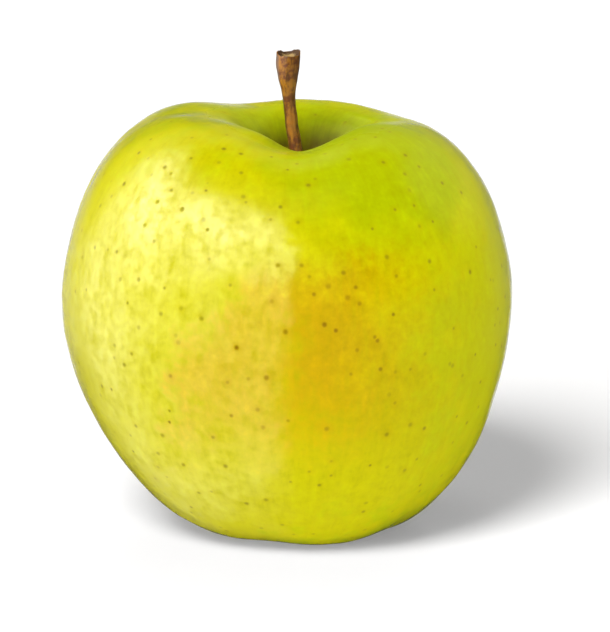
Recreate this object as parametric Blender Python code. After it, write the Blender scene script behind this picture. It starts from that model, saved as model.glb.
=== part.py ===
"""A whole yellow-green apple, standing on the lobes round its eye.

Metres, +Z up, -Y is the cheek that faces the viewer. The origin is on the ground under the
middle of the fruit. Three pieces: the fruit, the woody stalk set in the hollow at its top,
and the dried calyx in the basin at its base.
"""

import math
from collections import namedtuple

import bmesh
import bpy
from mathutils import Vector, noise

MM = 0.001

# Driving dimensions of the fruit
DIAMETER = 75.0 * MM
SHOULDER_HEIGHT = 69.0 * MM
WIDEST_HEIGHT = 38.5 * MM
CREST_RADIUS = 17.5 * MM
MOUTH_RADIUS = 10.8 * MM
MOUTH_DROP = 1.5 * MM
HOLLOW_DEPTH = 15.5 * MM
FOOT_RADIUS = 13.4 * MM
BASIN_DEPTH = 8.5 * MM

# The lobes: an apple has five seed chambers, and its skin swells over each of them
LOBES = 5
FRONT_LOBE = math.radians(-72)
VALLEY_SHARPNESS = 0.15

# The shoulder isn't level. It leans up to its high side, and has swells and dips of its own,
# each given by the angle where it is, half its width as an angle, and its rise.
HIGH_SHOULDER = math.radians(185)
SHOULDER_LEAN = 1.0 * MM
FRONT_DIP = (math.radians(-87), math.radians(27), -2.85 * MM)
RIGHT_SWELL = (math.radians(-32), math.radians(26), 1.2 * MM)
BACK_DIP = (math.radians(116), math.radians(26), -0.9 * MM)

# The cheek isn't quite round: soft dents as wide as a fingertip
DENT_SPACING = 15 * MM
DENT_DEPTH = 0.35 * MM

# The stalk, and the socket that holds its foot. Foot and top are multiples of its radius, and
# the flare runs between two shares of its length.
STALK_RADIUS = 1.03 * MM
STALK_FOOT = 1.35
STALK_TOP = 1.72
FLARE_START = 0.74
FLARE_END = 0.95
STALK_FLATNESS = 0.85
SOCKET_DEPTH = 4.0 * MM
CLEARANCE = 0.3 * MM
STALK_RISE = 10.4 * MM
STALK_LEAN = -3.2 * MM
STALK_FOOT_TILT = math.radians(-9)
STALK_TOP_TILT = math.radians(4)

# The stalk's torn top: a splinter on one side, a lower crest on another, and sunken pith
SPLINTER_SIDE = math.radians(35)
SPLINTER_HEIGHT = 0.9 * MM
SPLINTER_SHARPNESS = 3
CREST_SIDE = math.radians(150)
CREST_HEIGHT = 0.25 * MM
TEAR_SHARPNESS = 6
PITH_SHARE = 0.55
PITH_DEPTH = 0.35 * MM

# The calyx, with one sepal for each lobe. A sepal leaves the stub at the basin's floor
# sideways, turns down, and curls out again at its tip.
SEPAL_REACH = 4.8 * MM
SEPAL_DROP = 4.2 * MM
SEPAL_ELBOW = 0.55 * SEPAL_REACH
SEPAL_WAIST = (0.45 * SEPAL_REACH, -1.08 * SEPAL_DROP)
SEPAL_POINT = 1.2
SEPAL_THICKNESS = 0.5 * MM
NOTCH_SHARE = 0.42

# Fineness of the meshes
FRUIT_SIDES = 90
STALK_SIDES = 20
CALYX_SIDES = 40
HOLLOW_RINGS, BRIM_RINGS, SHOULDER_RINGS, CHEEK_RINGS, BASIN_RINGS = 9, 5, 12, 16, 9
STALK_RINGS = 18
SEPAL_RINGS = 4

# A place on the fruit's outline. Heading is the way that the outline runs there, 0 outwards
# and 90 up. Reach is how long it keeps that heading, before and after. Shift moves the ring
# towards +X. Swell and rise are how far a lobe stands out and up there.
Place = namedtuple("Place", "radius height heading before after shift swell rise")

HOLLOW_FLOOR = Place(
    radius=STALK_RADIUS * STALK_FOOT + CLEARANCE,
    height=SHOULDER_HEIGHT - HOLLOW_DEPTH,
    heading=48,
    before=0,
    after=6.5 * MM,
    shift=3.3 * MM,
    swell=0,
    rise=0,
)
MOUTH = Place(
    radius=MOUTH_RADIUS,
    height=SHOULDER_HEIGHT - MOUTH_DROP,
    heading=28,
    before=3.0 * MM,
    after=2.6 * MM,
    shift=2.0 * MM,
    swell=0,
    rise=0,
)
CREST = Place(
    radius=CREST_RADIUS,
    height=SHOULDER_HEIGHT,
    heading=0,
    before=4.0 * MM,
    after=10.8 * MM,
    shift=-0.2 * MM,
    swell=0.3 * MM,
    rise=0.15 * MM,
)
WIDEST = Place(
    radius=DIAMETER / 2,
    height=WIDEST_HEIGHT,
    heading=-90,
    before=16.5 * MM,
    after=20.2 * MM,
    shift=-0.35 * MM,
    swell=0.2 * MM,
    rise=0,
)
FOOT = Place(
    radius=FOOT_RADIUS,
    height=-0.08 * MM,
    heading=-180,
    before=10.0 * MM,
    after=6.0 * MM,
    shift=2.2 * MM,
    swell=0.1 * MM,
    rise=-0.28 * MM,
)
BASIN_FLOOR = Place(
    radius=0.6 * MM,
    height=BASIN_DEPTH,
    heading=-180,
    before=5.0 * MM,
    after=0,
    shift=2.2 * MM,
    swell=0,
    rise=0,
)
OUTLINE = (
    (HOLLOW_FLOOR, MOUTH, HOLLOW_RINGS),
    (MOUTH, CREST, BRIM_RINGS),
    (CREST, WIDEST, SHOULDER_RINGS),
    (WIDEST, FOOT, CHEEK_RINGS),
    (FOOT, BASIN_FLOOR, BASIN_RINGS),
)


def clear_scene():
    for obj in list(bpy.data.objects):
        bpy.data.objects.remove(obj)


def principled(name, colour, roughness):
    material = bpy.data.materials.new(name)
    material.use_nodes = True
    shader = material.node_tree.nodes["Principled BSDF"]
    shader.inputs["Base Color"].default_value = (*colour, 1)
    shader.inputs["Roughness"].default_value = roughness
    shader.inputs["Metallic"].default_value = 0
    return material


def bezier(p0, p1, p2, p3, share):
    """The point at this share of a cubic Bezier curve."""
    rest = 1 - share
    return (
        p0 * rest**3
        + 3 * p1 * rest**2 * share
        + 3 * p2 * rest * share**2
        + p3 * share**3
    )


def eased(start, end, share):
    return start + (end - start) * share * share * (3 - 2 * share)


def angles(sides):
    return [2 * math.pi * i / sides for i in range(sides)]


def loft(name, rings, first, last, material):
    """One closed solid through these rings of points, pointed at both ends."""
    bm = bmesh.new()
    loops = [[bm.verts.new(point) for point in ring] for ring in rings]
    sides = len(rings[0])
    for near, far in zip(loops, loops[1:]):
        for i in range(sides):
            j = (i + 1) % sides
            bm.faces.new((near[i], near[j], far[j], far[i]))
    for loop, point, turn in ((loops[0], first, -1), (loops[-1], last, 1)):
        tip = bm.verts.new(point)
        for i in range(sides):
            j = (i + 1) % sides
            bm.faces.new((loop[i], loop[j], tip)[::turn])
    bmesh.ops.recalc_face_normals(bm, faces=bm.faces)
    bmesh.ops.triangulate(bm, faces=bm.faces, quad_method="FIXED")
    mesh = bpy.data.meshes.new(name)
    bm.to_mesh(mesh)
    bm.free()
    mesh.materials.append(material)
    mesh.shade_smooth()
    obj = bpy.data.objects.new(name, mesh)
    bpy.context.scene.collection.objects.link(obj)
    return obj


def lobing(angle):
    """How much of a lobe there is at this angle: near 1 on a lobe, below -1 in a valley."""
    turned = LOBES * (angle - FRONT_LOBE)
    return math.cos(turned) - VALLEY_SHARPNESS * math.cos(2 * turned)


def shoulder_rise(angle):
    """How far the shoulder stands above its mean height at this angle."""
    rise = SHOULDER_LEAN * math.cos(angle - HIGH_SHOULDER)
    for centre, width, height in (FRONT_DIP, RIGHT_SWELL, BACK_DIP):
        turned = math.remainder(angle - centre, 2 * math.pi)
        rise += height * math.exp(-((turned / width) ** 2))
    return rise


def outline_rows():
    """The outline from the hollow's floor to the basin's, one row for each ring of skin.

    A row holds the ring's radius, height, shift, swell and rise.
    """
    rows = []
    for start, end, count in OUTLINE:
        ends = []
        for place, reach in ((start, start.after), (end, -end.before)):
            heading = math.radians(place.heading)
            way = Vector((math.cos(heading), math.sin(heading)))
            here = Vector((place.radius, place.height))
            ends.append((here, here + way * reach))
        for i in range(count):
            share = i / count
            at = bezier(ends[0][0], ends[0][1], ends[1][1], ends[1][0], share)
            shift = eased(start.shift, end.shift, share)
            swell = eased(start.swell, end.swell, share)
            rise = eased(start.rise, end.rise, share)
            rows.append((at.x, at.y, shift, swell, rise))
    return rows


def dent(point):
    return DENT_DEPTH * noise.noise(point / DENT_SPACING)


def fruit_ring(radius, height, shift, swell, rise, sides):
    """One ring of skin, lobed, leaning up to the high shoulder, and cut off at the ground."""
    firmness = min(1, radius / MOUTH_RADIUS)
    above = max(0, height - WIDEST_HEIGHT) / (SHOULDER_HEIGHT - WIDEST_HEIGHT)
    ring = []
    for angle in angles(sides):
        lobe = lobing(angle)
        out = radius + swell * lobe
        up = height + rise * lobe + shoulder_rise(angle) * above**2 * firmness
        point = Vector((out * math.cos(angle), out * math.sin(angle), up))
        out += dent(point) * firmness
        ring.append(
            Vector((shift + out * math.cos(angle), out * math.sin(angle), max(0, up)))
        )
    return ring


def tilted(angle):
    """The way up for something that tilts by this angle towards +X."""
    return Vector((math.tan(angle), 0, 1))


def make_fruit(skin):
    rings = [fruit_ring(*row, FRUIT_SIDES) for row in outline_rows()]
    into_socket = -SOCKET_DEPTH * tilted(STALK_FOOT_TILT)
    socket_floor = [point + into_socket for point in rings[0]]
    foot = Vector((HOLLOW_FLOOR.shift, 0, HOLLOW_FLOOR.height)) + into_socket
    eye = Vector((BASIN_FLOOR.shift, 0, BASIN_FLOOR.height))
    return loft("fruit", [socket_floor, *rings], foot, eye, skin)


def stalk_width(share):
    """Radius of the stalk along its length, as a multiple of STALK_RADIUS."""
    foot = (STALK_FOOT - 1) * (1 - share) ** 3
    into_flare = (share - FLARE_START) / (FLARE_END - FLARE_START)
    return foot + eased(1, STALK_TOP, min(1, max(0, into_flare)))


def torn_rim(angle):
    """Height of the torn end's rim over its middle."""
    beside = math.cos(angle - SPLINTER_SIDE) - 1
    splinter = SPLINTER_HEIGHT * math.exp(SPLINTER_SHARPNESS * beside)
    return splinter + CREST_HEIGHT * math.cos(angle - CREST_SIDE)


def make_stalk(bark):
    mouth = Vector((HOLLOW_FLOOR.shift, 0, HOLLOW_FLOOR.height))
    foot = mouth - (SOCKET_DEPTH - CLEARANCE) * tilted(STALK_FOOT_TILT)
    top = Vector(
        (HOLLOW_FLOOR.shift + STALK_LEAN, 0, SHOULDER_HEIGHT + STALK_RISE)
    )
    reach = (top - foot).length / 3
    upright = foot + reach * tilted(STALK_FOOT_TILT)
    leaning = top - reach * tilted(STALK_TOP_TILT)
    rings = []
    for i in range(STALK_RINGS + 1):
        share = i / STALK_RINGS
        centre = bezier(foot, upright, leaning, top, share)
        radius = STALK_RADIUS * stalk_width(share)
        rings.append(
            [
                centre
                + Vector(
                    (
                        radius * math.cos(angle),
                        radius * STALK_FLATNESS * math.sin(angle),
                        torn_rim(angle) * share**TEAR_SHARPNESS,
                    )
                )
                for angle in angles(STALK_SIDES)
            ]
        )
    pith = top - Vector((0, 0, PITH_DEPTH))
    torn_end = [pith + (point - top) * PITH_SHARE for point in rings[-1]]
    return loft("stalk", [*rings, torn_end], foot, pith, bark)


def sepal_reach(angle):
    """Share of a sepal's length that the star reaches at this angle."""
    turned = (angle - FRONT_LOBE) * LOBES / (2 * math.pi)
    off_axis = abs(turned - round(turned)) * 2
    return NOTCH_SHARE + (1 - NOTCH_SHARE) * (1 - off_axis) ** SEPAL_POINT


def sepal_face(reach, depth):
    """Radius and height on a sepal at this share of its length, depth under its outer face."""
    root = Vector((0, 0))
    tip = Vector((SEPAL_REACH, -SEPAL_DROP))
    curve = (root, Vector((SEPAL_ELBOW, 0)), Vector(SEPAL_WAIST), tip)
    here = bezier(*curve, reach)
    along = (bezier(*curve, reach + 0.01) - here).normalized()
    return here + depth * Vector((along.y, -along.x))


def make_calyx(husk):
    """A star of sepals that stands down from the basin's floor and curls out at its tips."""
    top = Vector((BASIN_FLOOR.shift, 0, BASIN_DEPTH - CLEARANCE))

    def star(share, depth):
        ring = []
        for angle in angles(CALYX_SIDES):
            at = sepal_face(share * sepal_reach(angle), depth)
            out = Vector((at.x * math.cos(angle), at.x * math.sin(angle), at.y))
            ring.append(top + out)
        return ring

    shares = [i / SEPAL_RINGS for i in range(1, SEPAL_RINGS + 1)]
    outside = [star(share, 0) for share in shares]
    inside = [
        star(share, SEPAL_THICKNESS * (1 - share * share)) for share in shares[-2::-1]
    ]
    underside = top - Vector((0, 0, SEPAL_THICKNESS))
    return loft("calyx", [*outside, *inside], top, underside, husk)


clear_scene()
make_fruit(principled("apple_skin", (0.60, 0.56, 0.02), 0.38))
make_stalk(principled("stalk_bark", (0.28, 0.13, 0.035), 0.65))
make_calyx(principled("dried_sepals", (0.17, 0.12, 0.05), 0.85))
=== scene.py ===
import math
from collections import namedtuple

import bpy
import numpy as np
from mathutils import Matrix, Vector, noise


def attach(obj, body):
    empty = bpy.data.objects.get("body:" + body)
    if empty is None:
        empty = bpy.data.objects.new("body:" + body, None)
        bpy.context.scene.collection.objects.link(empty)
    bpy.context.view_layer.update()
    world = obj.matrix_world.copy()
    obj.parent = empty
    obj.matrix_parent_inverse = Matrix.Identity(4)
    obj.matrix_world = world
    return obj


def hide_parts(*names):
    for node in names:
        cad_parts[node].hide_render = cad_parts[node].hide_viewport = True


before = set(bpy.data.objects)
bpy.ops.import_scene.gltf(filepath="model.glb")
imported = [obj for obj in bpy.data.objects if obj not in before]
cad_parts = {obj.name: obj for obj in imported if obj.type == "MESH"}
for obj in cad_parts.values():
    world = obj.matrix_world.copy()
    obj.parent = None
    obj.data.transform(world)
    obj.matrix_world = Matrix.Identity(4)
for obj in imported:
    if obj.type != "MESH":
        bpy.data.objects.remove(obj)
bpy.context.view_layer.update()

# A whole yellow-green apple stands on a white floor. All is in metres, with +Z up. The camera
# looks along +Y, and +X is to its right.
MM = 0.001

# The camera stands a step away with a long lens, and looks a little down on the apple and
# just to the right of its middle.
CAMERA_STEP = 0.8
CAMERA_ELEVATION = math.radians(13)
AIM = Vector((2.8 * MM, 0, 35.3 * MM))
VIEW_HEIGHT = 105.3 * MM
SENSOR = 36

camera = bpy.data.objects.new("camera", bpy.data.cameras.new("camera"))
bpy.context.scene.collection.objects.link(camera)
camera.data.sensor_width = SENSOR
camera.data.lens = SENSOR * CAMERA_STEP / VIEW_HEIGHT


def turn_to(obj, azimuth, elevation, distance, target):
    """Stands an object this far from its target and turns its face to it.

    Azimuth 0 is the camera's side, and grows towards +X.
    """
    away = Vector(
        (
            math.sin(azimuth) * math.cos(elevation),
            -math.cos(azimuth) * math.cos(elevation),
            math.sin(elevation),
        )
    )
    obj.location = target + away * distance
    obj.rotation_euler = away.to_track_quat("Z", "Y").to_euler()


turn_to(camera, 0, CAMERA_ELEVATION, CAMERA_STEP, AIM)
bpy.context.scene.camera = camera


# The fruit: one firm body of flesh under a thin waxy skin, with a hollow at the stalk, a basin
# at the eye and five soft lobes. Its outline is drawn in curves between a few places, swept
# round the core, and dented a little with noise.
SHOULDER_HEIGHT = 69.0 * MM
WIDEST_HEIGHT = 38.5 * MM
CREST_RADIUS = 17.5 * MM
MOUTH_RADIUS = 10.8 * MM
MOUTH_DROP = 1.5 * MM
HOLLOW_DEPTH = 15.5 * MM
HOLLOW_SHIFT = 3.3 * MM
BASIN_DEPTH = 8.5 * MM
BASIN_SHIFT = 2.2 * MM
LOBES = 5
FRONT_LOBE = math.radians(-72)
VALLEY_SHARPNESS = 0.15
HIGH_SHOULDER = math.radians(185)
SHOULDER_LEAN = 1.0 * MM
FRONT_DIP = (math.radians(-87), math.radians(27), -2.85 * MM)
RIGHT_SWELL = (math.radians(-32), math.radians(26), 1.2 * MM)
BACK_DIP = (math.radians(116), math.radians(26), -0.9 * MM)
DENT_SPACING = 15 * MM
DENT_DEPTH = 0.35 * MM
SKIN_SIDES = 360

# A place on the outline. Heading is the way it runs there, 0 outwards and 90 up, and reach is
# how long it keeps that heading. Swell and rise are how far a lobe stands out and up there.
Place = namedtuple("Place", "radius height heading before after shift swell rise")
hollow_floor = Place(
    1.2 * MM, SHOULDER_HEIGHT - HOLLOW_DEPTH - 0.6 * MM, 40, 0, 6.5 * MM, HOLLOW_SHIFT, 0, 0
)
mouth = Place(
    MOUTH_RADIUS, SHOULDER_HEIGHT - MOUTH_DROP, 28, 3.0 * MM, 2.6 * MM, 2.0 * MM, 0, 0
)
crest = Place(
    CREST_RADIUS, SHOULDER_HEIGHT, 0, 4.0 * MM, 10.8 * MM, -0.2 * MM, 0.3 * MM, 0.15 * MM
)
widest = Place(
    37.5 * MM, WIDEST_HEIGHT, -90, 16.5 * MM, 20.2 * MM, -0.35 * MM, 0.2 * MM, 0
)
foot = Place(
    13.4 * MM, -0.08 * MM, -180, 10.0 * MM, 6.0 * MM, BASIN_SHIFT, 0.1 * MM, -0.28 * MM
)
basin_floor = Place(
    0.6 * MM, BASIN_DEPTH, -180, 5.0 * MM, 0, BASIN_SHIFT, 0, 0
)
OUTLINE = (
    (hollow_floor, mouth, 34),
    (mouth, crest, 16),
    (crest, widest, 66),
    (widest, foot, 84),
    (foot, basin_floor, 30),
)


def bezier(p0, p1, p2, p3, share):
    """The point at this share of a cubic Bezier curve."""
    rest = 1 - share
    return p0 * rest**3 + 3 * p1 * rest**2 * share + 3 * p2 * rest * share**2 + p3 * share**3


def eased(low, high, share):
    """Runs from low to high as share runs from 0 to 1, level at both ends."""
    share = np.clip(share, 0, 1)
    return low + (high - low) * share * share * (3 - 2 * share)


def turns(sides):
    """Angles all the way round."""
    return np.arange(sides) * 2 * math.pi / sides


def outline_rows():
    """Radius, height, shift, swell and rise of each ring of skin, from the top down."""
    rows = []
    for start, end, count in OUTLINE:
        share = np.arange(count) / count
        curve = []
        for place, reach in ((start, start.after), (end, -end.before)):
            heading = math.radians(place.heading)
            here = np.array((place.radius, place.height))
            curve.append(here)
            curve.append(here + reach * np.array((math.cos(heading), math.sin(heading))))
        near, leaving, far, arriving = curve
        at = bezier(near[:, None], leaving[:, None], arriving[:, None], far[:, None], share)
        soft = [eased(a, b, share) for a, b in zip(start[5:], end[5:])]
        rows.append(np.array([*at, *soft]).T)
    return np.concatenate(rows)


def lobing(angle):
    """How much of a lobe there is at this angle: near 1 on a lobe, below -1 in a valley."""
    turned = LOBES * (angle - FRONT_LOBE)
    return np.cos(turned) - VALLEY_SHARPNESS * np.cos(2 * turned)


def shoulder_rise(angle):
    """How far the shoulder stands above its mean height at this angle."""
    rise = SHOULDER_LEAN * np.cos(angle - HIGH_SHOULDER)
    for centre, width, height in (FRONT_DIP, RIGHT_SWELL, BACK_DIP):
        turned = (angle - centre + math.pi) % (2 * math.pi) - math.pi
        rise = rise + height * np.exp(-((turned / width) ** 2))
    return rise


def noise_at(points, spacing):
    """Smooth noise from -1 to 1 at each point, with features this far apart."""
    flat = points.reshape(-1, 3) / spacing
    return np.array([noise.noise(p) for p in flat]).reshape(points.shape[:-1])


def normals(rings):
    """The unit normals of a grid of rings: inwards if the rings run down, outwards if up."""
    around = np.roll(rings, -1, axis=1) - np.roll(rings, 1, axis=1)
    along = np.gradient(rings, axis=0)
    normal = np.cross(around, along)
    return normal / np.maximum(np.linalg.norm(normal, axis=-1, keepdims=True), 1e-12)


def skin_rings():
    """The skin as a grid of points: rings from the hollow's floor to the basin's."""
    angle = turns(SKIN_SIDES)
    radius, height, shift, swell, rise = (c[:, None] for c in outline_rows().T)
    firmness = np.minimum(1, radius / MOUTH_RADIUS)
    above = np.maximum(0, height - WIDEST_HEIGHT) / (SHOULDER_HEIGHT - WIDEST_HEIGHT)
    out = radius + swell * lobing(angle)
    up = height + rise * lobing(angle) + shoulder_rise(angle) * above**2 * firmness
    rings = np.stack([out * np.cos(angle), out * np.sin(angle), up], axis=-1)
    out = out + DENT_DEPTH * noise_at(rings, DENT_SPACING) * firmness
    rings = np.stack([shift + out * np.cos(angle), out * np.sin(angle), up], axis=-1)
    return rings, firmness


# The skin isn't as smooth as the body: it is dimpled like any living thing, and puckered into
# soft furrows that run down into the hollow and the basin. It lies a little inside the body, so
# that nothing on it stands out past the apple's size.
DIMPLES = ((6.5 * MM, 0.10 * MM), (3.6 * MM, 0.045 * MM), (1.9 * MM, 0.012 * MM))
SKIN_INSET = 0.08 * MM
FURROWS = 11
FURROW_DEPTH = 0.10 * MM
FURROW_REACH = (4.0 * MM, 15.0 * MM)
FURROW_WANDER = 1.6
FURROW_WANDER_SPACING = 9 * MM

rings, firmness = skin_rings()
relief = sum(depth * noise_at(rings, spacing) for spacing, depth in DIMPLES)
from_core = np.hypot(rings[..., 0] - HOLLOW_SHIFT, rings[..., 1])
bearing = np.arctan2(rings[..., 1], rings[..., 0] - HOLLOW_SHIFT)
wander = FURROW_WANDER * noise_at(rings, FURROW_WANDER_SPACING)
furrow = -np.abs(np.sin(FURROWS / 2 * bearing + wander)) ** 3
inside = eased(1, 0, (from_core - FURROW_REACH[0]) / (FURROW_REACH[1] - FURROW_REACH[0]))
off_end = eased(0, 1, from_core / FURROW_REACH[0])
relief = relief * firmness + furrow * FURROW_DEPTH * inside * off_end
rings = rings + normals(rings) * (SKIN_INSET * firmness - relief)[..., None]
rings[..., 2] = np.maximum(rings[..., 2], 0)


def grid_piece(name, rings, first, last):
    """A closed mesh through a grid of rings, pointed at both ends."""
    count, sides = rings.shape[:2]
    ring, side = np.meshgrid(np.arange(count - 1), np.arange(sides), indexing="ij")
    beside = (side + 1) % sides
    quads = np.stack(
        [ring * sides + side, ring * sides + beside, (ring + 1) * sides + beside,
         (ring + 1) * sides + side], axis=-1
    ).reshape(-1, 4)
    side = np.arange(sides)
    beside = (side + 1) % sides
    top = np.stack([beside, side, np.full(sides, count * sides)], axis=-1)
    base = (count - 1) * sides
    end = np.stack([base + side, base + beside, np.full(sides, count * sides + 1)], axis=-1)
    points = np.concatenate([rings.reshape(-1, 3), [first, last]])
    mesh = bpy.data.meshes.new(name)
    mesh.from_pydata(points.tolist(), [], quads.tolist() + top.tolist() + end.tolist())
    mesh.flip_normals()
    mesh.shade_smooth()
    piece = bpy.data.objects.new(name, mesh)
    bpy.context.scene.collection.objects.link(piece)
    return piece


hollow_end = Vector(rings[0].mean(axis=0))
basin_end = Vector(rings[-1].mean(axis=0))
fruit = grid_piece("skin_and_flesh", rings, hollow_end, basin_end)


class Wire:
    """One output socket in a material. Arithmetic on it adds the Math nodes that it needs."""

    def __init__(self, tree, socket=None):
        self.tree = tree
        self.socket = socket

    def node(self, kind, settings, sockets, output=0):
        """Adds a node, sets it up, and feeds its sockets with values or wires."""
        made = self.tree.nodes.new(kind)
        for setting, value in settings.items():
            setattr(made, setting, value)
        for key, value in sockets.items():
            if isinstance(value, Wire):
                self.tree.links.new(value.socket, made.inputs[key])
            else:
                made.inputs[key].default_value = value
        return Wire(self.tree, made.outputs[output])

    def math(self, operation, *others):
        """Works on this value, and on others after it."""
        settings = {"operation": operation}
        return self.node("ShaderNodeMath", settings, dict(enumerate((self, *others))))

    def vector(self, operation, *others):
        """Works on this vector, and on others after it."""
        settings = {"operation": operation}
        return self.node("ShaderNodeVectorMath", settings, dict(enumerate((self, *others))))

    def scaled(self, factor):
        """This vector or colour, times a number."""
        settings = {"operation": "SCALE"}
        return self.node("ShaderNodeVectorMath", settings, {0: self, "Scale": factor})

    def other(self, output):
        """Another output of the same node."""
        return Wire(self.tree, self.socket.node.outputs[output])

    def length(self):
        return self.vector("LENGTH").other("Value")

    def dot(self, way):
        return self.vector("DOT_PRODUCT", way).other("Value")

    def __add__(self, other):
        return self.math("ADD", other)

    def __sub__(self, other):
        return self.math("SUBTRACT", other)

    def __rsub__(self, other):
        return self.math("MULTIPLY", -1).math("ADD", other)

    def __mul__(self, other):
        return self.math("MULTIPLY", other)

    def __truediv__(self, other):
        return self.math("DIVIDE", other)

    __radd__ = __add__
    __rmul__ = __mul__

    def between(self, low, high):
        """0 at low and 1 at high, eased at both ends; low may be the larger."""
        settings = {"interpolation_type": "SMOOTHSTEP"}
        if low > high:
            sockets = {"Value": self, "From Min": high, "From Max": low, "To Min": 1, "To Max": 0}
        else:
            sockets = {"Value": self, "From Min": low, "From Max": high}
        return self.node("ShaderNodeMapRange", settings, sockets)

    def mix(self, low, high):
        """The colour low where this is 0, and high where it is 1."""
        return self.node("ShaderNodeMix", {"data_type": "RGBA"}, {0: self, 6: low, 7: high}, 2)

    def parts(self):
        """The three numbers of a vector."""
        return [
            self.node("ShaderNodeSeparateXYZ", {}, {"Vector": self}, axis) for axis in "XYZ"
        ]

    def speckle(self, spacing, detail=2, roughness=0.5):
        """Noise from 0 to 1 over this vector, with features this far apart."""
        sockets = {"Vector": self, "Scale": 1 / spacing, "Detail": detail, "Roughness": roughness}
        return self.node("ShaderNodeTexNoise", {}, sockets, "Fac")

    def bump(self, height):
        """The surface's normal, tilted by this height in metres."""
        sockets = {"Strength": 1, "Distance": 1, "Height": height}
        return self.node("ShaderNodeBump", {}, sockets, "Normal")


def new_finish(name):
    """A material, and a wire that holds the place on the piece, in metres."""
    material = bpy.data.materials.new(name)
    material.use_nodes = True
    spot = Wire(material.node_tree).node("ShaderNodeTexCoord", {}, {}, "Object")
    return material, spot


def finish_surface(material, sockets):
    """Sets the shader's sockets to values or wires."""
    shader = material.node_tree.nodes["Principled BSDF"]
    for key, value in sockets.items():
        if isinstance(value, Wire):
            material.node_tree.links.new(value.socket, shader.inputs[key])
        else:
            shader.inputs[key].default_value = value


# The skin's colours: yellow on the cheeks, green towards the stalk and the eye, and a golden
# blush on the side that faced the sun. Brown breathing spots are scattered over it, and the wax
# on it lies in thin and thick streaks that run from the stalk to the eye.
YELLOW = (0.69, 0.64, 0.0, 1)
LIME = (0.50, 0.575, 0.0, 1)
GOLD = (0.69, 0.51, 0.0, 1)
AMBER = (0.65, 0.425, 0.0, 1)
HOLLOW_GREEN = (0.27, 0.36, 0.002, 1)
HOLLOW_PAINTED_SHADE = (0.085, 0.07, 0.003, 1)
RUSSET = (0.20, 0.13, 0.02, 1)
SPOT_OLIVE = (0.28, 0.23, 0.01, 1)
SPOT_BROWN = (0.26, 0.12, 0.004, 1)
SPOT_HALO = (0.62, 0.40, 0.002, 1)
MIDDLE_HEIGHT = 36 * MM
HALF_HEIGHT = 34 * MM
GIRTH_RADIUS = 37.5 * MM
CLOUD_SPACING = 16 * MM
BLOTCH_SPACING = 5 * MM
FLECK_SPACING = 1.6 * MM
STREAK_SPACING = 1.3 * MM
BROAD_STREAK_SPACING = 4.5 * MM
STREAK_SHRINK = (0, 0, 0.24)

skin, spot = new_finish("waxy_skin")
x, y, z = spot.parts()
cloud = spot.speckle(CLOUD_SPACING, 3) - 0.5
blotch = spot.speckle(BLOTCH_SPACING, 3, 0.6) - 0.5
fleck = spot.speckle(FLECK_SPACING, 3, 0.6) - 0.5
ring_way = spot.vector("MULTIPLY", (1, 1, 0)).vector("NORMALIZE")
along = spot.vector("MULTIPLY", STREAK_SHRINK)
meridian = ring_way.scaled(GIRTH_RADIUS).vector("ADD", along)
streak = meridian.speckle(STREAK_SPACING, 3, 0.65) - 0.5
broad_streak = meridian.speckle(BROAD_STREAK_SPACING, 2, 0.5) - 0.5

# Where the skin is green: on one cheek, on the shoulders and most at the back, a little on the
# right, and at the foot. The last three ranges run in halves of the apple's width or height.
GREEN_CHEEK = (14 * MM, -18 * MM, 66 * MM)
GREEN_CHEEK_REACH = (25 * MM, 10 * MM)
GREEN_BACK = (-20 * MM, 10 * MM)
GREEN_SHOULDER = (0.75, 1.15)
GREEN_SIDE = (0.40, 0.85)
GREEN_FOOT = (0.86, 1.28)

right = x / GIRTH_RADIUS
up = (z - MIDDLE_HEIGHT) / HALF_HEIGHT
from_green = spot.vector("DISTANCE", GREEN_CHEEK).other("Value")
cheek_green = (from_green + blotch * 12 * MM).between(*GREEN_CHEEK_REACH)
shoulder_green = (up + blotch * 0.8).between(*GREEN_SHOULDER)
shoulder_green = shoulder_green * (0.45 + y.between(*GREEN_BACK) * 0.45)
side_green = (right + blotch * 1.2).between(*GREEN_SIDE) * 0.38
foot_green = (right * 0.35 - up + blotch).between(*GREEN_FOOT) * 0.8
leafiness = cheek_green
for green in (shoulder_green, side_green, foot_green):
    leafiness = leafiness.math("MAXIMUM", green)
ground = (leafiness + streak * 0.6 + fleck * 0.6 + blotch * 0.3).mix(YELLOW, LIME)

# The blush: its left edge runs slantwise down to the left, its other edges fade out, and its
# core is warmer. Each range starts where there is none of it and ends where it is full.
BLUSH_START = -18 * MM
BLUSH_SLOPE = 0.8
BLUSH_LEFT = (-2.5 * MM, 3.5 * MM)
BLUSH_RIGHT = (27 * MM, 12 * MM)
BLUSH_TOP = (55 * MM, 47 * MM)
BLUSH_BOTTOM = (14 * MM, 32 * MM)
BLUSH_BACK = (6 * MM, -10 * MM)
CORE_LEFT = (-3 * MM, 2 * MM)
CORE_RIGHT = (16 * MM, 7 * MM)
CORE_TOP = (52 * MM, 44 * MM)
CORE_BOTTOM = (22 * MM, 38 * MM)

ragged = cloud * 10 * MM + blotch * 13 * MM + fleck * 8 * MM
slant = (z - MIDDLE_HEIGHT).math("MAXIMUM", 0) * BLUSH_SLOPE + BLUSH_START
to_front = y.between(*BLUSH_BACK)
blush = (x - slant + ragged).between(*BLUSH_LEFT) * (x + ragged).between(*BLUSH_RIGHT)
blush = blush * (z + ragged * 0.7).between(*BLUSH_TOP) * (z + ragged).between(*BLUSH_BOTTOM)
blush = blush * to_front
gilded = (blush * (0.9 + streak * 1.2 + blotch * 0.8)).mix(ground, GOLD)
core = (x + ragged).between(*CORE_LEFT) * (x + ragged).between(*CORE_RIGHT)
core = core * (z + ragged).between(*CORE_TOP) * (z + ragged).between(*CORE_BOTTOM) * to_front
warm = (core * (0.9 + streak + blotch)).mix(gilded, AMBER)
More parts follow.
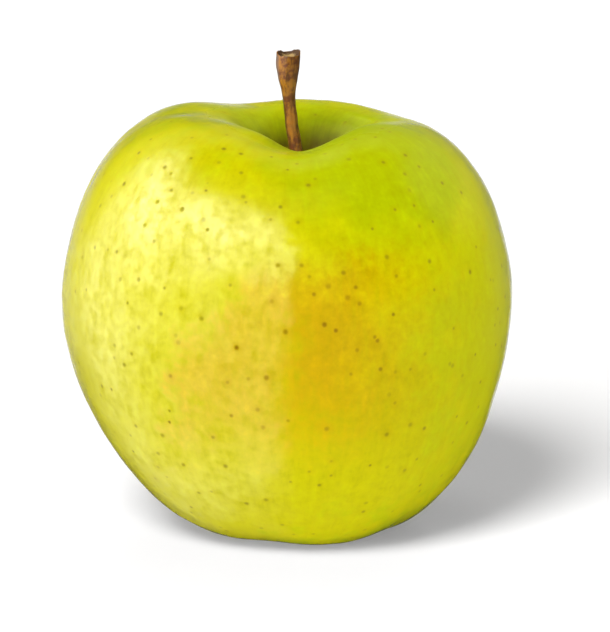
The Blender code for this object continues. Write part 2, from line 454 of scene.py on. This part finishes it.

# The hollow is greener and duller, with a little rough brown round the stalk. Painted shade
# darkens it most at its bottom and on its left wall, which faces away from the key. Fine rays
# run down its walls, and fade on the back one.
HOLLOW_REACH = (20 * MM, 8 * MM)
RUSSET_REACH = (7 * MM, 2.5 * MM)
UPPER_HALF = (45 * MM, 58 * MM)
BACK_WALL = (-2 * MM, 8 * MM)
PAINTED_SHADE_BELOW = (68 * MM, 62 * MM)
LEFT_PAINTED_SHADE_BELOW = (70 * MM, 65 * MM)
LEFT_WALL_WAY = (-0.86, -0.5, 0)
LEFT_WALL = (0.4, 0.95)

off_stalk = spot.vector("SUBTRACT", (HOLLOW_SHIFT, 0, 0)).vector("MULTIPLY", (1, 1, 0))
from_stalk = off_stalk.length()
upper = z.between(*UPPER_HALF)
hollow = (from_stalk + blotch * 4 * MM).between(*HOLLOW_REACH) * upper
from_stalk_way = off_stalk.vector("NORMALIZE")
ray_noise = from_stalk_way.speckle(0.35, 3, 0.7) - 0.5
ray_noise = ray_noise * (1 - y.between(*BACK_WALL) * 0.7)
russeting = (from_stalk - ray_noise * 7 * MM).between(*RUSSET_REACH) * upper
deep = (hollow * (0.8 + ray_noise)).mix(warm, HOLLOW_GREEN)
left_wall_shade = from_stalk_way.dot(LEFT_WALL_WAY).between(*LEFT_WALL)
# Painted shade: olive-dark low in the hollow and on its left wall, streaked by the rays.
painted_hollow_shade = z.between(*PAINTED_SHADE_BELOW) + left_wall_shade * z.between(*LEFT_PAINTED_SHADE_BELOW) * 0.45
shaded = (painted_hollow_shade * hollow * (1 + ray_noise * 2)).mix(deep, HOLLOW_PAINTED_SHADE)
rusty = (russeting * 0.85).mix(shaded, RUSSET)

# Each cell of the skin that has its middle near the surface holds one spot, with a soft edge
# and a faint halo. Both edges are given in spot radii, from none to full.
SPOT_CELL = 3.3 * MM
SPOT_BAND = (0.66 * MM, 0.48 * MM)
SPOT_RADIUS = 0.22 * MM
SPOT_EDGE = (1.7, 0.3)
HALO_EDGE = (4.5, 1.2)

settings = {"feature": "F1"}
cell = spot.node("ShaderNodeTexVoronoi", settings, {"Vector": spot, "Scale": 1 / SPOT_CELL})
chance, dark_chance, halo_chance = cell.other("Color").parts()
to_middle = cell.other("Position").vector("SUBTRACT", spot)
ray = spot.vector("SUBTRACT", (0, 0, MIDDLE_HEIGHT)).vector("NORMALIZE")
depth = to_middle.dot(ray)
away = to_middle.vector("SUBTRACT", ray.scaled(depth)).length()
near_skin = depth.math("ABSOLUTE").between(*SPOT_BAND)
spot_radius = SPOT_RADIUS + chance * 0.14 * MM + blush * 0.05 * MM
dot = (away / spot_radius).between(*SPOT_EDGE) * (0.35 + dark_chance * 0.5) * near_skin
halo = (away / spot_radius).between(*HALO_EDGE) * (0.06 + halo_chance * 0.34) * near_skin
haloed = (halo * (0.35 + blush * 0.65)).mix(rusty, SPOT_HALO)
spotted = dot.mix(haloed, blush.mix(SPOT_OLIVE, SPOT_BROWN))
tone = 1 + fleck * 0.5 + streak * 0.32 + blotch * 0.3 + cloud * 0.1
painted = spotted.scaled(tone)

# The wax is a glossy coat: thin on the spots and in the hollow, and uneven elsewhere.
WAX = 0.72
THINNEST_WAX = 0.02
PEEL_SPACING = 1.3 * MM
waxiness = WAX + broad_streak * 0.4 + blotch * 1.2 + streak * 0.8 + fleck * 1.8
waxiness = (waxiness - hollow * 1.3 - dot).math("MAXIMUM", THINNEST_WAX).math("MINIMUM", 1)
peel = spot.speckle(PEEL_SPACING, 2) * 0.02 * MM + blotch * 0.03 * MM
bumped = spot.bump(peel + dot * 0.02 * MM)
finish_surface(
    skin,
    {
        "Base Color": painted,
        "Roughness": 0.24 + hollow * 0.15,
        "Normal": bumped,
        "IOR": 1.45,
        "Specular IOR Level": 0.08,
        "Specular Tint": (1.0, 0.9, 0.2, 1.0),
        "Coat Weight": waxiness,
        "Coat Roughness": 0.13,
        "Subsurface Weight": 0.1,
        "Subsurface Scale": 2 * MM,
        "Subsurface Radius": (1.0, 0.8, 0.1),
    },
)
fruit.data.materials.append(skin)
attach(fruit, "root")
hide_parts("fruit")
# The skin throws no yellow light on the paper beside it.
fruit.visible_diffuse = False


# The stalk: a thin woody stem, grown into the floor of the hollow and snapped off above. It
# bends, thickens at the break, and its bark is ridged along its length.
STALK_RADIUS = 1.03 * MM
STALK_FOOT = 1.35
STALK_TOP = 1.92
FLARE_START = 0.74
FLARE_END = 0.95
STALK_FLATNESS = 0.85
STALK_RISE = 10.43 * MM
STALK_LEAN = -3.2 * MM
STALK_FOOT_TILT = math.radians(-9)
STALK_TOP_TILT = math.radians(4)
STALK_ROOT = 3.7 * MM
SPLINTER_SIDE = math.radians(35)
SPLINTER_HEIGHT = 0.9 * MM
SPLINTER_SHARPNESS = 3
CORNER_SIDE = math.radians(150)
CORNER_HEIGHT = 0.7 * MM
CORNER_SHARPNESS = 2
TEAR_SHARPNESS = 6
RAGGEDNESS = 0.2 * MM
RAG_SPACING = 0.55 * MM
RAG_SHARPNESS = 30
STALK_SIDES = 72
STALK_RINGS = 150
RIDGES = 9
RIDGE_DEPTH = 0.03 * MM
KNOT_DEPTH = 0.09 * MM
KNOT_SPACING = 1.8 * MM
SMOOTH_ROOT = 0.05
TWIST = 2.2
TWIST_SPACING = 6 * MM
PITH_DEPTH = 0.4 * MM

socket = np.array((HOLLOW_SHIFT, 0, SHOULDER_HEIGHT - HOLLOW_DEPTH))
foot_way = np.array((math.tan(STALK_FOOT_TILT), 0, 1))
top_way = np.array((math.tan(STALK_TOP_TILT), 0, 1))
stalk_foot = socket - STALK_ROOT * foot_way
stalk_top = np.array((HOLLOW_SHIFT + STALK_LEAN, 0, SHOULDER_HEIGHT + STALK_RISE))
reach_along = np.linalg.norm(stalk_top - stalk_foot) / 3
angle = turns(STALK_SIDES)
share = np.linspace(0, 1, STALK_RINGS)[:, None]
centre = bezier(
    stalk_foot, stalk_foot + reach_along * foot_way, stalk_top - reach_along * top_way, stalk_top,
    share,
)
flare = eased(1, STALK_TOP, (share - FLARE_START) / (FLARE_END - FLARE_START))
width = STALK_RADIUS * (flare + (STALK_FOOT - 1) * (1 - share) ** 3)
splinter = SPLINTER_HEIGHT * np.exp(SPLINTER_SHARPNESS * (np.cos(angle - SPLINTER_SIDE) - 1))
corner = CORNER_HEIGHT * np.exp(CORNER_SHARPNESS * (np.cos(angle - CORNER_SIDE) - 1))
torn = (splinter + corner) * share**TEAR_SHARPNESS
rim = np.stack([np.cos(angle), np.sin(angle), 0 * angle], axis=-1) * STALK_RADIUS * STALK_TOP
torn = torn - RAGGEDNESS * (noise_at(rim, RAG_SPACING) + 1) * share**RAG_SHARPNESS
bark = np.stack(
    [width * np.cos(angle), width * STALK_FLATNESS * np.sin(angle), torn], axis=-1
) + centre[:, None, :]
knots = KNOT_DEPTH * noise_at(bark, KNOT_SPACING)
twist = TWIST * noise_at(centre[:, None, :] + 0 * bark, TWIST_SPACING)
ridges = RIDGE_DEPTH * np.cos(RIDGES * angle + twist)
off_root = eased(0, 1, share / SMOOTH_ROOT)
bark = bark - normals(bark) * ((knots + ridges) * off_root)[..., None]

# The broken end is a shallow bowl of rings, each with its share of the rim's width and how far
# it is sunk, in millimetres.
BREAK_RINGS = ((0.93, -0.02), (0.84, 0.10), (0.66, 0.26), (0.45, 0.36), (0.22, 0.40))
end_rings = []
for inwards, sunk in BREAK_RINGS:
    ragged = noise_at(bark[-1] * inwards, 0.5 * MM) * 0.10 * MM
    ring = stalk_top + (bark[-1] - stalk_top) * inwards
    ring[:, 2] += ragged - sunk * MM
    end_rings.append(ring)
bark = np.concatenate([bark, np.array(end_rings)])
stalk = grid_piece("woody_stalk", bark, stalk_foot, stalk_top - np.array((0, 0, PITH_DEPTH)))

BARK_LIGHT = (0.48, 0.185, 0.002, 1)
BARK_RED = (0.19, 0.042, 0.002, 1)
BARK_GREY = (0.09, 0.065, 0.03, 1)
BARK_GRAIN = (0.10, 0.035, 0.004, 1)
# Painted shade for the stalk's left and right flanks.
BARK_PAINTED_FLANK_SHADE = (0.05, 0.018, 0.003, 1)
WOOD_PALE = (0.66, 0.42, 0.13, 1)
WOOD_RIM = (0.09, 0.04, 0.012, 1)
wood, spot = new_finish("ridged_bark")
x, y, z = spot.parts()
grain = spot.vector("MULTIPLY", (1, 1, 0.16)).speckle(0.45 * MM, 4, 0.65)
patch = spot.speckle(1.6 * MM, 3, 0.6)
mottle = spot.speckle(0.7 * MM, 3, 0.6)
brown = patch.between(0.44, 0.62).mix(BARK_LIGHT, BARK_RED)
# The bark turns greyer and darker towards its top, and most towards its right side.
greyer_up_right = (z / MM * 0.012 + mottle * 0.6 - 0.95 + x / MM * 0.16).between(0.05, 0.45)
greyed = (greyer_up_right * 0.3).mix(brown, BARK_GREY)
grained = grain.between(0.30, 0.52).mix(BARK_GRAIN, greyed)
# Painted shade: the bark is darkened where its normal points along x, so that the stalk's left
# and right flanks look shaded.
sideways = spot.node("ShaderNodeNewGeometry", {}, {}, "Normal").parts()[0].math("ABSOLUTE")
flank_shaded = (sideways.between(0.55, 1.0) * 0.75).mix(grained, BARK_PAINTED_FLANK_SHADE)
bumped = spot.bump(grain * 0.03 * MM + mottle * 0.03 * MM)
finish_surface(
    wood,
    {"Base Color": flank_shaded, "Roughness": 0.22 + mottle * 0.2, "Normal": bumped, "IOR": 1.5},
)
stalk.data.materials.append(wood)

cut, spot = new_finish("torn_wood")
fibre = spot.vector("MULTIPLY", (1, 1, 0.3)).speckle(0.25 * MM, 3, 0.7)
off_pith = spot.vector("DISTANCE", tuple(stalk_top)).other("Value")
pale = (off_pith + (fibre - 0.5) * 1.5 * MM).between(1.3 * MM, 0.7 * MM)
fibrous = pale.mix(WOOD_RIM, WOOD_PALE)
finish_surface(cut, {"Base Color": fibrous, "Roughness": 0.8})
stalk.data.materials.append(cut)
first_end = (STALK_RINGS - 1) * STALK_SIDES
for polygon in stalk.data.polygons:
    if min(polygon.vertices) >= first_end + STALK_SIDES:
        polygon.material_index = 1
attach(stalk, "root")
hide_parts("stalk")


# The calyx: five dried sepals round the dead flower's stamens, down in the basin under the
# apple. Each sepal is a thin, cupped and wavy leaf that leaves the basin's floor sideways, and
# then hangs down.
SEPAL_START = 0.4 * MM
SEPAL_REACH = 4.8 * MM
SEPAL_DROP = 4.2 * MM
SEPAL_THICKNESS = 0.35 * MM
SEPAL_HALF_WIDTH = 1.7 * MM
SEPAL_CUP = 0.35
SEPAL_WAVE = 0.35 * MM
SEPAL_WAVE_SPACING = 2.0 * MM
SEPAL_SIDES = 16
SEPAL_RINGS = 40

eye = np.array((BASIN_SHIFT, 0, BASIN_DEPTH - 0.1 * MM))
calyx_parts = []
for lobe in range(LOBES):
    bearing = FRONT_LOBE + lobe * 2 * math.pi / LOBES
    out_way = np.array((math.cos(bearing), math.sin(bearing), 0))
    side_way = np.array((-math.sin(bearing), math.cos(bearing), 0))
    share = np.linspace(0, 1, SEPAL_RINGS)[:, None]
    profile = bezier(
        np.array((SEPAL_START, 0)), np.array((0.55 * SEPAL_REACH, 0)),
        np.array((0.45 * SEPAL_REACH, -1.08 * SEPAL_DROP)), np.array((SEPAL_REACH, -SEPAL_DROP)),
        share,
    )
    spine = profile[:, :1] * out_way + profile[:, 1:] * np.array((0, 0, 1)) + eye
    along = np.gradient(spine, axis=0)
    along /= np.linalg.norm(along, axis=1, keepdims=True)
    face = np.cross(along, side_way)
    angle = turns(SEPAL_SIDES)
    belly = np.sin(math.pi * np.clip(share * 0.93 + 0.07, 0, 1)) ** 0.7
    half = SEPAL_HALF_WIDTH * belly * (1 - 0.45 * share)
    thick = SEPAL_THICKNESS / 2 * (1 - 0.6 * share)
    cup = SEPAL_CUP * half * np.cos(angle) ** 2
    wave = SEPAL_WAVE * noise_at(spine + lobe, SEPAL_WAVE_SPACING)[:, None] * np.cos(angle)
    ring = (
        spine[:, None, :]
        + side_way * (half * np.cos(angle))[..., None]
        + face[:, None, :] * (thick * np.sin(angle) - cup + wave)[..., None]
    )
    ends = ring[0].mean(axis=0), ring[-1].mean(axis=0)
    calyx_parts.append(grid_piece(f"sepal_{lobe}", ring, *ends))

STAMENS = 14
STAMEN_RADIUS = 0.09 * MM
STAMEN_SPREAD = (0.3 * MM, 1.3 * MM)
STAMEN_LENGTH = (1.6 * MM, 3.2 * MM)
STAMEN_BEND = 0.3 * MM
STAMEN_SIDES = 6
STAMEN_RINGS = 8
SEED = 5

draw = np.random.default_rng(SEED)
for stamen in range(STAMENS):
    bearing = draw.uniform(0, 2 * math.pi)
    spread = draw.uniform(*STAMEN_SPREAD)
    length = draw.uniform(*STAMEN_LENGTH)
    start = eye + np.array((math.cos(bearing), math.sin(bearing), 0)) * spread * 0.5
    tip = start + np.array((math.cos(bearing) * spread, math.sin(bearing) * spread, -length))
    share = np.linspace(0, 1, STAMEN_RINGS)[:, None]
    bend = np.array((STAMEN_BEND, 0, 0)) * share**2 * draw.uniform(-1, 1)
    spine = start + (tip - start) * share + bend
    radius = STAMEN_RADIUS * (1 + 1.2 * share**6)
    angle = turns(STAMEN_SIDES)
    ring = spine[:, None, :] + np.stack(
        [radius * np.cos(angle), radius * np.sin(angle), 0 * radius * angle], axis=-1
    )
    calyx_parts.append(grid_piece(f"stamen_{stamen}", ring, spine[0], spine[-1]))

calyx = calyx_parts[0]
with bpy.context.temp_override(
    active_object=calyx, selected_editable_objects=calyx_parts, object=calyx
):
    bpy.ops.object.join()
calyx.name = "dried_calyx"

LEAF_LIGHT = (0.19, 0.13, 0.05, 1)
LEAF_DARK = (0.10, 0.06, 0.03, 1)
LEAF_VEIN = (0.06, 0.04, 0.02, 1)
husk, spot = new_finish("dry_leaf")
vein = spot.speckle(0.5 * MM, 3, 0.6)
patch = spot.speckle(1.5 * MM, 2)
leaf = patch.between(0.35, 0.65).mix(LEAF_LIGHT, LEAF_DARK)
veined = vein.between(0.3, 0.7).mix(LEAF_VEIN, leaf)
bumped = spot.bump(vein * 0.08 * MM)
finish_surface(husk, {"Base Color": veined, "Roughness": 0.85, "Normal": bumped})
calyx.data.materials.append(husk)
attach(calyx, "root")
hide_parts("calyx")


# The floor: a white sheet of paper, wide enough to fill the view from any side. No surface
# mirrors it.
FLOOR_HALF = 6.0
PAPER_WHITE = (0.93, 0.925, 0.915, 1)
floor_mesh = bpy.data.meshes.new("paper_floor")
corners = [(a * FLOOR_HALF, b * FLOOR_HALF, 0) for a, b in ((-1, -1), (1, -1), (1, 1), (-1, 1))]
floor_mesh.from_pydata(corners, [], [(0, 1, 2, 3)])
floor = bpy.data.objects.new("paper_floor", floor_mesh)
bpy.context.scene.collection.objects.link(floor)
paper = new_finish("white_paper")[0]
finish_surface(paper, {"Base Color": PAPER_WHITE, "Roughness": 0.9, "Specular IOR Level": 0.0})
floor.data.materials.append(paper)
floor.visible_glossy = False

# The light: a pale room on all sides, and wide soft lamps far away. The paper has its own, the
# strongest from the front left, one of them low, to reach under the apple. The apple has a key
# from the same side, weaker fills, and one for what the paper throws back up at it.
ROOM_STRENGTH = 0.07
LAMP_DISTANCE = 2

# Each lamp's name, azimuth and elevation in degrees, strength, and width in degrees.
PAPER_LAMPS = (
    ("side_on_paper", -26, 46, 2.80, 24),
    ("low_on_paper", -35, 17, 1.55, 28),
    ("behind_on_paper", 170, 19, 1.10, 30),
    ("above_paper", 180, 76, 0.50, 28),
    ("right_on_paper", 60, 40, 0.28, 24),
    ("left_on_paper", -78, 56, 0.15, 24),
)
KEY = ("key", -36, 50, 2.10, 30)
FRUIT_LAMPS = (
    ("front_fill", 5, 8, 0.75, 60),
    ("top_fill", -30, 75, 0.35, 40),
    ("left_fill", -140, 25, 1.85, 40),
    ("right_fill", 125, 25, 1.65, 40),
)
BOUNCE = ("bounce", -10, -55, 0.38, 60)


def lamp(name, azimuth, elevation, strength, width, receivers):
    """A distant lamp that lights some pieces only, and that no surface mirrors."""
    light = bpy.data.objects.new(name, bpy.data.lights.new(name, "SUN"))
    bpy.context.scene.collection.objects.link(light)
    light.data.energy = strength
    light.data.angle = math.radians(width)
    light.visible_glossy = False
    light.light_linking.receiver_collection = receivers
    turn_to(light, math.radians(azimuth), math.radians(elevation), LAMP_DISTANCE, AIM)
    return light


paper_only = bpy.data.collections.new("paper_only")
paper_only.objects.link(floor)
for row in PAPER_LAMPS:
    lamp(*row, paper_only)

fruit_only = bpy.data.collections.new("fruit_only")
fruit_only.objects.link(fruit)
apple_only = bpy.data.collections.new("apple_only")
for piece in (fruit, stalk, calyx):
    apple_only.objects.link(piece)
lamp(*KEY, apple_only)
for row in FRUIT_LAMPS:
    lamp(*row, fruit_only)
bounce = lamp(*BOUNCE, fruit_only)
# It comes up through the paper.
bounce.data.use_shadow = False

world = bpy.data.worlds.new("room")
bpy.context.scene.world = world
world.use_nodes = True
world.node_tree.nodes["Background"].inputs["Color"].default_value = (1, 1, 1, 1)
world.node_tree.nodes["Background"].inputs["Strength"].default_value = ROOM_STRENGTH
world.cycles_visibility.glossy = False

# The dome: a wide shell of light that is seen only mirrored, on the wax and the bark. Its left
# half is a tall soft window, brightest high on the left, with a ragged edge in front of the
# apple. Its right half is nearly dark, and a pale backdrop stands low behind the apple.
DOME_RADIUS = 2.5
DOME_STEPS = 48
WINDOW_GLOW = 1.25

# Each patch of the window: the way to its middle, how squarely a way points there where the
# patch begins and where it is full, and what it adds to the glow.
WINDOW_PATCHES = (
    ((-0.64, -0.18, 0.75), 0.70, 0.99, 6.2),
    ((-0.19, -0.56, 0.80), 0.80, 0.98, 3.0),
    ((-0.99, 0.10, 0.06), 0.70, 1.0, 1.8),
    ((-0.66, -0.74, -0.05), 0.92, 1.0, 0.6),
    ((-0.60, 0.66, 0.45), 0.88, 0.99, -0.9),
)
BACKDROP = ((0, 0.974, -0.225), 0.91, 0.99, 0.7)

# The ranges run from none to full, along the dome's own x, y or z from -1 to 1.
OFF_ZENITH = (0.98, 0.62)
OFF_BACK = (0.9, 0.15)
BACK_BAND_TOP = (0.2, -0.1)
BACK_BAND_FOOT = (-0.4, -0.2)
BACK_BAND = 0.3
BACK_LEAST = 0.03
ABOVE_TABLE = (-0.34, -0.25)
LOWER_HALF = (0.35, -0.5)
UNDER_BACK = (-0.45, 0.35)
UNDER_APPLE = (-0.55, -0.8)
RIM_BACK = (0.3, 0.7)
RIM_HEIGHT = (-0.4, -0.1)
RIM_GLOW = 0.13
DARKEST = 0.015
EDGE_SOFTNESS = 0.03
EDGE_FRAY = 0.4
FRAY_SPACING = 0.08


def patch_of_light(way, middle, start, full, strength):
    """A soft round patch on the dome, seen along this way."""
    return way.dot(middle).between(start, full) * strength


dome_angle = turns(DOME_STEPS)
dome_slope = (np.arange(1, DOME_STEPS // 2) * 2 * math.pi / DOME_STEPS)[:, None]
dome_rings = DOME_RADIUS * np.stack(
    [np.sin(dome_slope) * np.cos(dome_angle), np.sin(dome_slope) * np.sin(dome_angle),
     np.cos(dome_slope) + 0 * dome_angle], axis=-1
)
dome = grid_piece("dome", dome_rings, (0, 0, DOME_RADIUS), (0, 0, -DOME_RADIUS))

glow, spot = new_finish("window_glow")
way = spot.vector("NORMALIZE")
x, y, z = way.parts()
at_back = z.between(*BACK_BAND_TOP) * z.between(*BACK_BAND_FOOT) * BACK_BAND + BACK_LEAST
off_back = y.between(*OFF_BACK) * (1 - at_back) + at_back
window = sum((patch_of_light(way, *row) for row in WINDOW_PATCHES), WINDOW_GLOW)
window = window * z.between(*OFF_ZENITH) * off_back
backdrop = patch_of_light(way, *BACKDROP) * z.between(*ABOVE_TABLE)

# The window's edge is further left and softer below, and most so under the apple.
below = z.between(*LOWER_HALF)
under = y.between(*UNDER_BACK) * z.between(*UNDER_APPLE)
frayed = way.speckle(FRAY_SPACING, 3, 0.6) - 0.5
edge_place = x + under * 0.24 + below * 0.10 + frayed * EDGE_FRAY
edge_softness = EDGE_SOFTNESS + under * 0.22 + below * 0.06
leftness = (edge_place / edge_softness).between(1, -1)
rim = y.between(*RIM_BACK) * z.between(*RIM_HEIGHT) * RIM_GLOW + DARKEST
brightness = (leftness * window + (1 - leftness) * rim).math("MAXIMUM", backdrop)
finish_surface(
    glow,
    {
        "Base Color": (0, 0, 0, 1),
        "Specular IOR Level": 0.0,
        "Emission Color": brightness,
        "Emission Strength": 1.0,
    },
)
dome.data.materials.append(glow)
dome.visible_camera = False
dome.visible_diffuse = False
dome.visible_transmission = False
dome.visible_volume_scatter = False
dome.visible_shadow = False

bpy.context.scene.view_settings.view_transform = "Standard"
